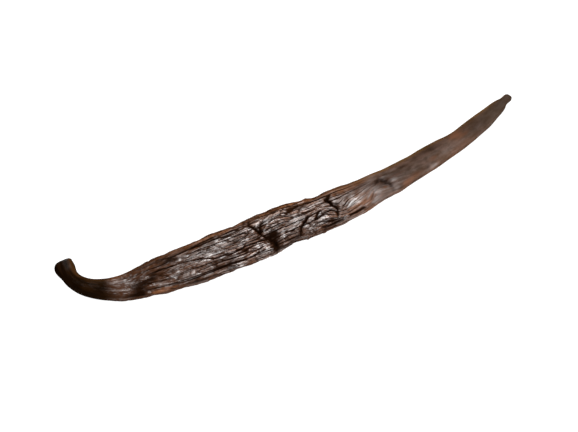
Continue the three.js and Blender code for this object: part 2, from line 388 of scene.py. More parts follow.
def bent(distance, turn):
    """Turn plus bells times (lift + lean * gap along), plus a slow drift. The lines of a
    pattern drawn on the result move towards the far edge by the lift, and slant by the lean."""
    shift = sum(
        np.radians(lift + lean * (distance - at))
        * np.exp(-gap_squared(distance, turn, at, middle, reach, round_reach))
        for at, middle, reach, round_reach, lift, lean in BENDS
    )
    return turn + shift + LINE_SWING * drift(distance, turn, *LINE_DRIFT)


print("bends:", len(BENDS))

# %% [markdown]
# ### Grooves
# Narrow grooves run lengthwise, in three sets from coarse to fine, and come and go. Plain
# noise would give blurred wrinkles. Here the sine of a swinging phase draws a narrow line
# wherever it passes zero, and the skin between the lines stays flat.

# %% Grooves
# distance, strength
COARSE = [
    (11, 0), (24, 1), (44, 1), (50, 0.7), (64, 0.7), (70, 1), (78, 1), (86, 0.4), (94, 0.2),
    (106, 0.05), (116, 0),
]
MIDDLING = [
    (14, 0), (22, 0.3), (34, 0.8), (44, 1), (50, 1.2), (64, 1.2), (72, 1), (76, 0.9), (83, 0.25),
    (93, 0.1), (110, 0),
]
FINE = [
    (16, 0), (30, 0.2), (36, 0.5), (44, 1.0), (50, 1.5), (64, 1.4), (72, 0.8), (78, 0.5), (84, 0.1),
    (90, 0),
]
# grooves round the pod, depth, share of the spacing, swing, length of a swing, seed, strength along
GROOVE_SETS = [
    (17, 0.24, 0.24, 0.9, 17.0, 11, COARSE),
    (33, 0.22, 0.18, 0.7, 14.0, 12, MIDDLING),
    (59, 0.12, 0.36, 0.6, 11.0, 13, FINE),
]
SWING_CELLS = 7  # round the pod, of a groove's swing
GROOVE_SHOWS, GROOVE_VARIES = 0.65, 1.2
SEED_STEP = 50  # from a groove set's seed to the seed of where it shows


def profile(table, distance):
    """Straight pieces between the (distance, strength) points of a table."""
    at, strength = np.array(table).T
    return np.interp(distance, at, strength)


def groove_depth(distance, turn):
    """Sum over the sets of depth * exp(-(sin(phase) / share)^2), where the phase grows with
    the turn and swings slowly. A slow drift makes each groove come and go."""
    total = 0 * distance * turn
    for count, depth, share, swing, length, seed, strength in GROOVE_SETS:
        phase = count * turn / 2 + swing * drift(distance, turn, length, SWING_CELLS, seed)
        shows = drift(distance, turn, length / 2, count // 2, seed + SEED_STEP)
        there = ease(GROOVE_SHOWS + GROOVE_VARIES * shows) * profile(strength, distance)
        total = total + depth * there * np.exp(-((np.sin(phase) / share) ** 2))
    return total


print("grooves in each set:", [row[0] for row in GROOVE_SETS])

# %% [markdown]
# ### Plates
# Between the grooves the skin is broken up into plates, each at its own level and slightly
# tilted, so that some mirror the light and their neighbours stay dark. A noise has no flat
# places that could do that. Random cells have, and each cell can be given a level and a
# slope.

# %% Plates
# length of a plate in mm, plates round the pod, spread of levels, tilt across, tilt along, edge, seed
PLATE_LAYERS = [
    (5.5, 17, 0.06, 0.60, 0.60, 0.16, 21),
    (2.4, 33, 0.03, 0.26, 0.30, 0.22, 22),
]
PLATE_SLIDE, PLATE_START = 1.2, 4  # millimetres
SLIDE_DRIFT = (6.0, 31, 7)  # length, cells round, seed


def plates(distance, turn, length, cells, seed):
    """Jittered cells: each point belongs to its nearest seed point. Returns how far it is
    from the cell's border (second nearest distance less nearest), its place across and along
    the cell, and three random numbers of the cell."""
    p, q = distance / length + 0 * turn, turn / (2 * np.pi) * cells + 0 * distance
    i, j = np.floor(p).astype(int), np.floor(q).astype(int)
    lowest = i.min() - 1
    table = np.random.default_rng(seed).uniform(0, 1, (5, i.max() - lowest + 2, cells))
    nearest = np.full(p.shape, 9.0)
    second, across, ahead = nearest.copy(), 0 * p, 0 * p
    random = np.zeros((3,) + p.shape)
    for di in (-1, 0, 1):
        for dj in (-1, 0, 1):
            cell = table[:, i + di - lowest, (j + dj) % cells]
            dp, dq = i + di + cell[0] - p, j + dj + cell[1] - q
            gap = np.hypot(dp, dq)
            closer = gap < nearest
            second = np.where(closer, nearest, np.minimum(second, gap))
            nearest = np.where(closer, gap, nearest)
            across, ahead = np.where(closer, -dq, across), np.where(closer, -dp, ahead)
            random = np.where(closer, cell[2:], random)
    return second - nearest, across, ahead, random


def plate_relief(distance, turn):
    """Sum of the layers: in each cell a random level and a random slope across and along.
    Also returns a tone, the mean of the cells' third random numbers, and a crack, which is 1
    on the cells' borders."""
    slide = PLATE_SLIDE * drift(distance, turn, *SLIDE_DRIFT)
    total, tone, whole = 0 * distance * turn, 0 * distance * turn, 1 + 0 * distance * turn
    for length, cells, spread, tilt_across, tilt_along, edge, seed in PLATE_LAYERS:
        border, across, ahead, random = plates(distance + slide + PLATE_START, turn, length, cells, seed)
        level = spread * (2 * random[0] - 1)
        slope_across = tilt_across * (2 * random[1] - 1) * across
        slope = slope_across + tilt_along * (2 * random[2] - 1) * ahead
        total = total + ease(border / edge) * (level + slope + spread)
        tone = tone + random[2] / len(PLATE_LAYERS)
        whole = whole * ease(border / edge)
    return total, tone, 1 - whole


print("plates round the pod, by layer:", [row[1] for row in PLATE_LAYERS])

# %% [markdown]
# ### Lumps
# Under the plates the skin is softly lumpy, and towards the tip little else is left. One
# noise would do for most of that. The stretch where the pod was wrung has one of its own,
# drawn on the bent lines, so that its lumps slant.

# %% Lumps
# height in millimetres, length, cells round, seed
LUMPS = [(0.14, 4.6, 10, 31), (0.08, 2.3, 18, 32)]
WRUNG_HEIGHT = 0.13
WRUNG_DRIFT = (4.2, 19, 33)
WRUNG_STARTS, WRUNG_ENDS = (76, 82), (91, 99)


def lump_height(distance, turn, bent_turn):
    """Soft swellings a few millimetres long: the sum of slow drifts, and one more along the
    bent lines where the pod is wrung."""
    swellings = sum(
        height * drift(distance, turn, length, cells, seed) for height, length, cells, seed in LUMPS
    )
    wrung = rising(distance, WRUNG_STARTS) * (1 - rising(distance, WRUNG_ENDS))
    return swellings + WRUNG_HEIGHT * wrung * drift(distance, bent_turn, *WRUNG_DRIFT)


print("kinds of lump:", len(LUMPS) + 1)

# %% [markdown]
# ### The pod's own marks, and the shade in its hollows
# Some places stand out on this pod: plates polished flat that mirror the light, russet
# patches where the skin is thin, and dark hollows where it sank, whose dark is partly the
# skin's own and partly painted shade. Noise alone would put them anywhere, so each is placed
# by its distance and turn, and its outline is made uneven.

# %% Shines, russets and darks
# distance, turn, reach along, reach round in degrees, amount
SHINES = [
    (1.2, 66, 1.4, 30, 0.18), (15.8, 72, 1.8, 18, 0.2), (16.8, 130, 2.4, 9, 0.12),
    (18.3, 74, 0.9, 9, 0.4), (19.6, 93, 1.0, 7, 0.3), (21.6, 127, 0.5, 9, 0.4),
    (23.2, 94, 0.9, 11, 0.5), (26.6, 148, 1.6, 4, 0.6), (30.3, 123, 2.0, 5, 0.55),
    (33.2, 66, 0.6, 8, 0.6), (35.6, 65, 0.6, 7, 0.6), (39.0, 108, 1.0, 6, 0.7),
    (41.0, 101, 1.3, 10, 0.85), (44.5, 62, 1.2, 9, 0.85), (46.6, 128, 0.9, 6, 0.6),
    (47.2, 62, 0.8, 6, 0.6), (52.4, 61, 0.8, 7, 1.0), (53.3, 130, 0.8, 6, 1.0),
    (55.2, 148, 0.9, 7, 1.0), (57.0, 137, 0.3, 3, 0.35), (57.3, 117, 0.25, 3, 0.4),
    (58.2, 127, 0.2, 3, 0.3), (59.2, 67, 1.3, 8, 0.8), (60.6, 125, 0.8, 6, 1.0),
    (62.4, 128, 1.2, 4, 0.9), (62.8, 92, 0.6, 9, 0.8), (65.5, 95, 1.3, 10, 0.9),
    (67.0, 137, 0.9, 9, 0.4), (72.6, 131, 1.4, 6, 0.6), (72.8, 84, 0.7, 5, 0.7),
    (74.8, 66, 1.2, 14, 0.4), (78.0, 70, 0.8, 14, 0.6), (81.4, 118, 1.2, 8, 0.5),
    (83.0, 104, 1.0, 12, 0.35), (83.4, 127, 1.3, 7, 0.7), (94.3, 76, 0.7, 12, 0.4),
    (95.6, 152, 1.0, 9, 0.6), (96.8, 114, 1.1, 12, 0.4), (109.6, 160, 1.1, 14, 0.9),
]
RUSSETS = [
    (6.0, 60, 3.0, 22, 0.5), (24.5, 168, 2.4, 8, 0.7), (27.5, 160, 2.6, 6, 0.6),
    (41.8, 38, 2.4, 7, 0.7), (46.4, 37, 1.8, 8, 1.0), (50.2, 168, 1.4, 9, 1.0), (64.5, 38, 3.0, 5, 0.8),
    (68.0, 165, 1.4, 6, 0.8), (71.4, 38, 1.4, 7, 1.0), (82.0, 164, 1.6, 6, 0.7),
    (85.6, 142, 1.4, 6, 0.9), (86.6, 107, 1.0, 7, 0.7), (88.0, 44, 3.0, 9, 0.7),
    (93.2, 124, 0.7, 9, 0.9), (99.8, 160, 1.8, 13, 0.8), (103.0, 152, 2.0, 13, 0.5),
    (110.6, 124, 1.6, 14, 0.6), (122.0, 68, 2.6, 22, 0.9), (123.6, 104, 2.4, 16, 0.6),
]
# dark hollows: painted shade where the skin sank, over skin that is darker there too
DARKS_AND_SHADE = [
    (20.0, 167, 2.8, 12, 0.9), (20.8, 140, 2.0, 26, 1.0), (23.4, 116, 2.0, 13, 0.9),
    (25.1, 97, 1.2, 16, 0.8), (27.4, 50, 0.8, 4, 0.7), (30.4, 108, 0.9, 9, 0.5),
    (30.6, 53, 1.8, 11, 0.95), (36.5, 171, 3.4, 7, 0.6), (55.5, 81, 0.8, 12, 0.9),
    (57.8, 166, 1.5, 15, 0.85), (57.9, 132, 1.5, 30, 0.9), (58.6, 108, 1.4, 10, 0.75),
    (61.0, 168, 1.8, 9, 0.6), (65.6, 52, 1.6, 4, 0.9), (67.5, 118, 0.5, 7, 0.8),
    (68.2, 162, 1.0, 5, 0.8), (73.4, 166, 2.4, 12, 0.5), (75.2, 172, 2.6, 8, 0.3),
    (76.6, 66, 0.6, 11, 0.8), (77.8, 100, 0.7, 11, 0.9), (81.8, 158, 1.8, 6, 0.9),
    (88.0, 54, 1.8, 5, 0.4), (92.4, 74, 0.9, 8, 0.5), (101.6, 68, 1.5, 5, 0.4),
    (104.6, 117, 1.6, 6, 0.4), (107.6, 150, 0.6, 14, 0.4), (111.5, 62, 3.0, 12, 0.4),
    (114.4, 98, 1.8, 12, 0.3),
]
MARK_SHIFT, MARK_TURN = 0.35, 0.05  # millimetres along, radians round
MARK_SHIFT_DRIFT = (1.7, 22, 41)  # length, cells round, seed
MARK_TURN_DRIFT = (1.9, 30, 42)
MARK_EDGE = 1.5  # a bell's 1 would fade more softly


def marks(spots, distance, turn):
    """Sum of amount * exp(-(a^2 + b^2)^1.5), up to 1, where a and b are the gaps in reaches.
    Short drifts shift the places, for an uneven outline."""
    uneven_at = distance + MARK_SHIFT * drift(distance, turn, *MARK_SHIFT_DRIFT)
    uneven_turn = turn + MARK_TURN * drift(distance, turn, *MARK_TURN_DRIFT)
    total = 0 * distance * turn
    for at, middle, reach, round_reach, amount in spots:
        square = gap_squared(uneven_at, uneven_turn, at, middle, reach, round_reach)
        total = total + amount * np.exp(-(square ** MARK_EDGE))
    return np.minimum(total, 1)


print("shines, russets, darks:", len(SHINES), len(RUSSETS), len(DARKS_AND_SHADE))

# %% [markdown]
# ### Shades
# Over broader patches the skin is paler or darker, and oilier or drier, than the rest. A
# painted mask could hold that. Here each patch is a bell that changes the colour and the
# gloss, and where patches meet, their changes multiply.

# %% Shades
# distance, turn, reach along, reach round in degrees, change of colour, change of gloss
SHADES = [
    (5, 42, 8, 22, 2.0, 0), (13, 60, 4, 34, 0.6, 0), (15.5, 88, 4, 55, 0, -0.6),
    (26, 68, 3, 16, 0, -0.6), (26.5, 155, 3, 15, 0.3, 0.9), (29, 24, 9, 13, -0.3, 0),
    (29.5, 124, 2.4, 12, 0, 0.6), (32.5, 51, 6, 19, -0.3, -0.65), (33, 90, 6, 50, -0.05, -0.1),
    (35, 168, 4, 14, -0.4, -0.5), (37, 125, 3, 24, 0.45, 0.3), (43, 24, 5, 12, 0.25, 0),
    (46.5, 92, 4, 16, -0.25, -0.45), (46.5, 121, 3.4, 9, 0.4, 1.4), (50, 138, 3, 20, 0.9, 0.8),
    (54, 92, 2.6, 10, 0, -0.8), (54, 140, 2.6, 24, 0.4, 0.7), (57.2, 60, 2.6, 14, 0.2, 1.2),
    (61, 157, 2.2, 15, 0.8, 0), (62, 42, 4, 12, 0.4, 0.4), (63, 103, 4.2, 11, -0.1, -0.6),
    (65.5, 55, 3, 17, 0.7, 1.8), (68, 23, 7, 14, 0.55, 0), (71.5, 80, 4, 16, 0.5, -0.45),
    (72.5, 51, 5, 18, 0.1, -0.5), (73.6, 135, 1.8, 8, 0.4, 0.6), (74, 170, 3, 12, 0, -0.65),
    (78, 70, 3.6, 22, -0.35, -0.75), (81.6, 118, 2.2, 12, -0.6, 0.3), (82, 160, 3, 18, 0.2, -0.6),
    (83, 23, 9, 17, -0.42, 0), (86, 66, 4, 30, -0.25, -0.6), (86, 136, 3, 14, 0.1, -0.4),
    (92, 110, 7, 70, -0.2, -0.1), (93, 75, 8, 45, -0.3, -0.5), (98, 96, 3, 16, -0.1, -0.4),
    (101, 162, 3, 16, 0.3, 0), (104, 70, 6, 45, -0.1, -0.4), (108, 158, 1.6, 24, 0, 0.8),
    (113, 58, 6, 36, -0.3, -0.5), (115, 120, 9, 80, 0.15, 0.1), (116, 134, 2.4, 22, 0, 0.5),
    (118, 176, 28, 24, 0.6, 0.8), (120, 155, 16, 28, 0.15, 0.3), (122, 70, 2.2, 50, 0.25, -0.4),
    (127, 70, 6, 45, -0.1, -0.5), (130, 120, 4, 50, -0.2, -0.2), (138, 168, 10, 30, 0.1, 1.0),
]


def shades(distance, turn):
    """Products of 1 + change * exp(-(a^2 + b^2)^1.5): one for the colour and one for the gloss."""
    colour, gloss = 1 + 0 * distance * turn, 1 + 0 * distance * turn
    for at, middle, reach, round_reach, paler, oilier in SHADES:
        bell = marks([(at, middle, reach, round_reach, 1)], distance, turn)
        colour, gloss = colour * (1 + paler * bell), gloss * (1 + oilier * bell)
    return colour, gloss


print("shades:", len(SHADES))

# %% [markdown]
# ### Adding it up
# The plates are strong on the broad upper face, weaker on the rims, where the skin is
# stretched, and fade out on the stem and towards the tip. On a shine, most of the relief is
# taken away again. Equal strength all over would be simpler, but a pod is smoother there.

# %% The relief and where it is strong
# turn, reach in degrees, share lost
RIM_DIPS = [(24, 16, 0.75), (190, 18, 0.35)]
# spans of the pod in millimetres
PLATES_START, PLATES_END = (10, 28), (73, 92)
LUMPS_START, LUMPS_FADE = (9, 17), (90, 105)
PLATES_LOST, LUMPS_LOST = 0.94, 0.5
SHINE_FLATTENS = 0.85
FOLD_MEAN = 0.09  # millimetres, about the mean depth of the folds
LEVEL = 0.09  # millimetres that the whole skin is set inwards besides


def turn_bell(turn, middle, reach):
    """Bell round the pod: exp(-b^2), where b is the gap to the middle turn in reaches."""
    return np.exp(-((turn_gap(turn, middle) / np.radians(reach)) ** 2))


def rim_dip(turn):
    """1, less a bell at each rim."""
    far, near = (share * turn_bell(turn, middle, reach) for middle, reach, share in RIM_DIPS)
    return 1 - far - near


def relief_strength(distance, turn):
    """Strength of the plates: slow steps along the pod, times the dip at the rims."""
    start = rising(distance, PLATES_START)
    end = 1 - PLATES_LOST * rising(distance, PLATES_END)
    return start * end * rim_dip(turn)


strength = relief_strength(distance, turn)
shine, russet, dark_and_shade = (marks(spots, distance, turn) for spots in (SHINES, RUSSETS, DARKS_AND_SHADE))
paleness, oiliness = shades(distance, turn)
bent_turn = bent(distance, turn)
grooves = groove_depth(distance, bent_turn) * (0.5 + 0.5 * rim_dip(turn))
creases = crease_depth(distance, turn)
dents = dent_depth(distance, turn)
plate_height, tone, crack = plate_relief(distance, bent_turn)
folds = fold_depth(distance, turn)
lumps = lump_height(distance, turn, bent_turn) * rising(distance, LUMPS_START)
lumps = lumps * (1 - LUMPS_LOST * rising(distance, LUMPS_FADE))
uneven = folds - FOLD_MEAN + grooves - plate_height * strength - lumps
depth = uneven * (1 - SHINE_FLATTENS * shine) + dents + creases + FOLD_MEAN + LEVEL
points = smooth_point(distance, turn) - depth[..., None] * smooth_normal(distance, turn)
points[..., 2] = np.maximum(points[..., 2], 0)
print("relief, mm:", round(float(depth.min()), 2), "to", round(float(depth.max()), 2))

# %% [markdown]
# ## Closing the ends
# The cut stem ends in a shallow dish inside a rounded rim, and the tip in a blunt dome. Both
# are the end row drawn in towards its centre, step by step, to one pole point. A flat cap
# would be simpler, but it would have a sharp rim.

# %% Cap rows and poles
# share of the end row's size, millimetres past it
CUT_CAP = [(0.9, 0.25), (0.72, 0.45), (0.45, 0.4), (0, 0.3)]
TIP_CAP = [(0.92, 0.5), (0.7, 0.95), (0.38, 1.15), (0, 1.2)]


def cap_rows(row, at, caps, sign):
    """centre + share * (row - centre) + past * outward direction, for each (share, past)."""
    heading = np.radians(along(HEADING, at))
    outwards = sign * np.array([np.cos(heading), np.sin(heading), 0])
    centre = row.mean(axis=0)
    return np.stack([centre + share * (row - centre) + past * outwards for share, past in caps])


stem_rows = cap_rows(points[0], 0.0, CUT_CAP, -1)[::-1]
tip_rows = cap_rows(points[-1], LENGTH, TIP_CAP, 1)
skin_rows = np.concatenate([stem_rows[1:], points, tip_rows[:-1]])
vertices = np.concatenate([stem_rows[0, :1], skin_rows.reshape(-1, 3), tip_rows[-1, :1]])
row_count = len(skin_rows)
print("rows with the caps:", row_count)

# %% [markdown]
# ## The mesh
# The rows become quads, the poles fans of triangles. The whole is moved so that its box has
# the solid model's middle, and it stands on the same plane.

# %% Faces
def skin_faces(row_count, sides):
    """Quads between neighbouring rows, turning outwards, and a fan at each pole."""
    side = np.arange(sides)
    after = (side + 1) % sides
    start = 1 + sides * np.arange(row_count - 1)[:, None]
    quads = np.stack([start + side, start + after, start + sides + after, start + sides + side], axis=-1)
    pole, last_row = 1 + row_count * sides, 1 + (row_count - 1) * sides
    stem_fan = np.stack([0 * side, 1 + after, 1 + side], axis=-1)
    tip_fan = np.stack([0 * side + pole, last_row + side, last_row + after], axis=-1)
    return quads.reshape(-1, 4), np.concatenate([stem_fan, tip_fan])


quads, fans = skin_faces(row_count, SIDES)
box_middle = (vertices.min(axis=0) + vertices.max(axis=0)) / 2
shift = (low_corner + high_corner) / 2 - box_middle / MILLIMETRES
shift[2] = low_corner[2]
mesh = bpy.data.meshes.new("pod_skin")
places = vertices / MILLIMETRES + shift
mesh.from_pydata(places.tolist(), [], quads.tolist() + fans.tolist())
mesh.polygons.foreach_set("use_smooth", np.ones(len(mesh.polygons), dtype=bool))
mesh.update()
pod = bpy.data.objects.new("pod_skin", mesh)
bpy.context.scene.collection.objects.link(pod)
print("triangles:", 2 * len(quads) + len(fans))

# %% [markdown]
# ## What the finish needs to know
# The colour and the gloss follow the shape: valleys are darker, with shade painted into
# them, rims redder, the stem nearly black. So the relief is stored on the points as named
# values. The place on the skin is stored too, as if the pod were a straight round rod. A UV
# map would have a seam, and the rod has none. It is turned by the bent turn, so the patterns
# drawn on it bend with the wrinkles.

# %% Writing values to the skin
def blurred(field, passes):
    """Mean of each point and its four neighbours, repeated. The columns close on themselves."""
    for _ in range(passes):
        lengthwise = np.concatenate([field[:1], field, field[-1:]])
        around = np.roll(field, 1, axis=1) + np.roll(field, -1, axis=1)
        field = (lengthwise[:-2] + lengthwise[2:] + around + field) / 5
    return field


def on_skin(field):
    """A grid field spread to the cap rows and poles, as one value for each vertex."""
    stem, tip = field[:1], field[-1:]
    padded = np.concatenate([stem, stem, stem, field, tip, tip, tip])
    return np.concatenate([padded[:1, 0], padded.reshape((-1,) + field.shape[2:]), padded[-1:, 0]])


def store(name, field, kind="FLOAT", slot="value"):
    """Write a field to the mesh as a point attribute."""
    attribute = mesh.attributes.new(name, kind, "POINT")
    attribute.data.foreach_set(slot, on_skin(field).astype(np.float32).ravel())


def combined(*shades):
    """1 less the product of (1 - shade) over the shades, which lie over each other."""
    left = 1
    for shade in shades:
        left = left * (1 - shade)
    return 1 - left


print("vertices that each value fills:", len(mesh.vertices))

# %% Painted shade of the valleys, rims and the place on the skin
HOLLOW_BLUR = 14  # passes
# millimetres at which each shade is full
HOLLOW_FULL, PINCH_FULL, SUNK_FULL, GROOVE_FULL = 0.16, 0.3, 0.8, 0.11
# spans of the pod in millimetres
HOLLOWS_FADE = (84, 104)
GROOVE_SHADE_STARTS, GROOVE_SHADE_FADES = (22, 38), (78, 90)
EDGE_STARTS = (74, 94)
# turn, reach in degrees
FAR_RIM, NEAR_RIM, GOLDEN_EDGE = (28, 21), (190, 20), (24, 17)
GIRTH = 29.0  # millimetres round the pod where it is widest

# Painted shade: the hollows, creases, grooves and cracks of the relief are darkened in colour as if shaded.
# In dents and dark hollows it also stands for skin that is darker there.
hollow_shade = np.clip((depth - blurred(depth, HOLLOW_BLUR)) / HOLLOW_FULL, 0, 1)
hollow_shade = hollow_shade * (1 - 0.6 * rising(distance, HOLLOWS_FADE))
pinch_shade = np.clip(creases / PINCH_FULL, 0, 1)
sunk_dark_and_shade = np.clip(dents / SUNK_FULL, 0, 1) ** 1.5
groove_shade = np.clip(grooves * (1 - 0.5 * shine) / GROOVE_FULL, 0, 1)
groove_shade = groove_shade * (0.5 + 0.5 * rising(distance, GROOVE_SHADE_STARTS))
groove_shade = groove_shade * (1 - 0.6 * rising(distance, GROOVE_SHADE_FADES))
crack_shade = 0.75 * crack * np.clip(profile(FINE, distance), 0, 1) * (1 - shine)
cavity = combined(0.7 * hollow_shade, pinch_shade, 0.4 * sunk_dark_and_shade, groove_shade, dark_and_shade, crack_shade)
far_rim = turn_bell(turn, *FAR_RIM) + 0 * distance
near_rim = turn_bell(turn, *NEAR_RIM) + 0 * distance
# The golden far edge: the rim's own golden brown, made paler with painted light along the edge.
golden_edge_and_light = turn_bell(turn, *GOLDEN_EDGE) * rising(distance, EDGE_STARTS)
skin_radius = GIRTH / (2 * np.pi)
place = np.stack([
    distance + 0 * turn,
    skin_radius * np.cos(bent_turn),
    skin_radius * np.sin(bent_turn),
], axis=-1)
store("cavity", cavity)
store("rim", far_rim + near_rim)
store("edge", golden_edge_and_light)
store("dry", combined(0.96 * far_rim, 0.35 * near_rim))
store("tone", tone)
store("paleness", paleness)
store("oiliness", oiliness)
store("shine", shine)
store("russet", russet)
store("run", distance / LENGTH + 0 * turn)
store("place", place, "FLOAT_VECTOR", "vector")
print("cavity mean:", round(float(cavity.mean()), 3))

# %% [markdown]
# ## Writing shaders as maths
# A material's nodes are easier to read as expressions. Adding and linking them one by one
# hides the formula. This class wraps one output socket: + - * on it add Math nodes, and one
# method adds any other node.

# %% The wire class
class Wire:
    """One output socket of a node tree, with arithmetic."""

    def __init__(self, tree, socket=None):
        self.tree = tree
        self.socket = socket

    def node(self, kind, settings, inputs, output=0):
        """Add a node of a type, make its settings, then fill its inputs by name or index."""
        made = self.tree.nodes.new(kind)
        for name, value in settings.items():
            setattr(made, name, value)
        for key, value in inputs.items():
            if isinstance(value, Wire):
                self.tree.links.new(value.socket, made.inputs[key])
            else:
                made.inputs[key].default_value = value
        return Wire(self.tree, made.outputs[output]) if made.outputs else made

    def math(self, operation, a, b):
        """One Math node."""
        return self.node("ShaderNodeMath", {"operation": operation}, {0: a, 1: b})

    def __add__(self, other):
        return self.math("ADD", self, other)

    def __radd__(self, other):
        return self.math("ADD", other, self)

    def __sub__(self, other):
        return self.math("SUBTRACT", self, other)

    def __rsub__(self, other):
        return self.math("SUBTRACT", other, self)

    def __mul__(self, other):
        return self.math("MULTIPLY", self, other)

    def __rmul__(self, other):
        return self.math("MULTIPLY", other, self)

    def stepped(self, low, high):
        """Smooth step from 0 at low to 1 at high."""
        settings = {"interpolation_type": "SMOOTHSTEP"}
        inputs = {"Value": self, "From Min": low, "From Max": high}
        return self.node("ShaderNodeMapRange", settings, inputs)

    def mixed(self, a, b):
        """Colour a where this wire is 0 and b where it is 1."""
        settings = {"data_type": "RGBA", "clamp_factor": True}
        return self.node("ShaderNodeMix", settings, {0: self, 6: a, 7: b}, output=2)

    def brightness(self):
        """A colour as one value: a Math node takes its brightness."""
        return self * 1.0

    def vector(self, operation, other, output=0):
        """Vector Math of this vector and another."""
        return self.node("ShaderNodeVectorMath", {"operation": operation}, {0: self, 1: other}, output)

    def scaled(self, factors):
        """This vector times another, part by part."""
        return self.vector("MULTIPLY", factors)

    def noise(self, factors, detail, output=0):
        """Noise over this vector, stretched by three factors."""
        inputs = {"Vector": self.scaled(factors), "Scale": 1.0, "Detail": detail}
        return self.node("ShaderNodeTexNoise", {}, inputs, output)

    def cells(self, output, feature="F1"):
        """Random cells over this vector: Color and Position of each, or Distance to its border."""
        inputs = {"Vector": self, "Scale": 1.0}
        return self.node("ShaderNodeTexVoronoi", {"feature": feature}, inputs, output)

    def attribute(self, name, output="Fac"):
        """A value stored on the mesh."""
        return self.node("ShaderNodeAttribute", {"attribute_name": name}, {}, output=output)


print("what a wire can do:", [name for name in vars(Wire) if not name.startswith("__")])

# %% [markdown]
# ## The skin's finish
# Cured skin is dark chocolate brown with an oily gloss. The grey bloom of light on it is
# gloss, not colour, so the base colours stay dark: near black in the valleys, which is
# painted shade, and on the stem, russet in streaks, orange and golden brown along the rims,
# the golden far edge paler with painted light, and a milkier brown towards the tip. A
# scanned picture of skin would show more, but it would have a scale, a seam and a light of
# its own.

# %% The browns
CHOCOLATE = (0.088, 0.0340, 0.0141, 1)
DARK_BROWN = (0.048, 0.0180, 0.0072, 1)
NECK_BROWN = (0.030, 0.0113, 0.0046, 1)
# near black: painted shade in the valleys, creases and cracks
SHADE_BLACK = (0.0062, 0.0024, 0.0010, 1)
STEM_BLACK = (0.0033, 0.0013, 0.0003, 1)
STEM_BROWN = (0.0100, 0.0040, 0.0012, 1)
ORANGE_BROWN = (0.130, 0.0510, 0.0195, 1)
RUSSET_BROWN = (0.125, 0.0480, 0.0200, 1)
RUSSET_TIP = (0.048, 0.0194, 0.0094, 1)
TIP_BROWN = (0.0248, 0.0100, 0.0034, 1)
TIP_END_BROWN = (0.0180, 0.0086, 0.0034, 1)
# golden brown of the far edge, lightened to stand for light along the edge
GOLDEN_BROWN = (0.084, 0.045, 0.0165, 1)
MILKY = (1.45, 1.32, 1.55)  # factors on the colour in pale blotches
CLOUDED = (0.68, 0.70, 0.66)  # and in dark clouds
print("chocolate is lighter than the valleys by a factor of", round(CHOCOLATE[0] / SHADE_BLACK[0], 1))

# %% [markdown]
# ### Where the finish changes
# A pod's skin isn't the same from end to end: the stem is dull and black, the middle cracked
# and oily, the tip smooth and satin. Each change has a span, given as two shares of the
# length. Within a stretch, noise of several grains keeps the skin from looking even.

# %% Spans, and the fields that steer the finish
STEM_ENDS, NECK_ENDS, NECK_BROWN_ENDS = (0.084, 0.114), (0.15, 0.28), (0.13, 0.28)
GLOSS_STARTS, GRAIN_STARTS, RIM_STARTS = (0.17, 0.27), (0.18, 0.34), (0.20, 0.29)
FLAKES_START, FLAKES_END, STREAKS_START = (0.22, 0.38), (0.48, 0.57), (0.24, 0.40)
SATIN_STARTS, GRAIN_ENDS = (0.50, 0.58), (0.50, 0.60)
TIP_STARTS, SMOOTH_STARTS, TIP_END_STARTS = (0.52, 0.71), (0.55, 0.67), (0.80, 0.97)
GLEAM_STARTS, GLEAM_ENDS, DULL_STARTS = (0.56, 0.62), (0.70, 0.80), (0.86, 0.95)
CLOUDS_START, CLOUDS_THIN = (0.60, 0.68), (0.76, 0.88)
# stretch, in grains to a millimetre along and across, and detail
NOISES = {
    "streaks": ((0.16, 1.5, 1.5), 4.0),
    "patches": ((0.20, 0.45, 0.45), 2.0),
    "blotches": ((0.30, 0.22, 0.22), 2.0),
    "mottle": ((0.9, 0.9, 0.9), 2.0),
    "grain": ((2.2, 4.5, 4.5), 3.0),
    "clouds": ((0.38, 0.5, 0.5), 2.0),
}
STORED = ("cavity", "rim", "edge", "dry", "tone", "shine", "russet", "paleness", "oiliness", "run")


def skin_fields(tree):
    """The stored values, noise over the place on the skin, and smooth steps along the pod."""
    skin = SimpleNamespace(start=Wire(tree))
    skin.place = skin.start.attribute("place", "Vector")
    for name in STORED:
        setattr(skin, name, skin.start.attribute(name))
    for name, (stretch, detail) in NOISES.items():
        setattr(skin, name, skin.place.noise(stretch, detail))
    skin.clouds = skin.clouds.stepped(0.32, 0.68)
    skin.stem = 1 - skin.run.stepped(*STEM_ENDS)
    skin.neck = 1 - skin.run.stepped(*NECK_ENDS)
    skin.tip = skin.run.stepped(*TIP_STARTS)
    skin.smooth = skin.run.stepped(*SMOOTH_STARTS)
    skin.fine = skin.run.stepped(*FLAKES_START) * (1 - skin.run.stepped(*FLAKES_END))
    skin.cloudy = skin.run.stepped(*CLOUDS_START) * (1 - skin.run.stepped(*CLOUDS_THIN) * 0.7)
    return skin


material = bpy.data.materials.new("cured_skin")
material.use_nodes = True
nodes = material.node_tree.nodes
nodes.clear()
skin = skin_fields(material.node_tree)
print("values read from the mesh:", len(STORED) + 1, "nodes so far:", len(nodes))

# %% [markdown]
# ### Flakes
# The plates are split into flakes finer than the mesh. Random cells, stretched lengthwise and
# warped so that they aren't straight, give each flake a tilt, a gloss and a crack round it.
# A finer mesh could carry them too, but it would take several times as many faces.

# %% Flakes
FLAKE_CELLS = (0.34, 3.0, 3.0)  # flakes to a millimetre, along and across
WARP_GRAIN, WARP_SHIFT = (0.9, 1.6, 1.6), (0.9, 0.5, 0.5)
CRACK_WIDTH = 0.13  # of a cell


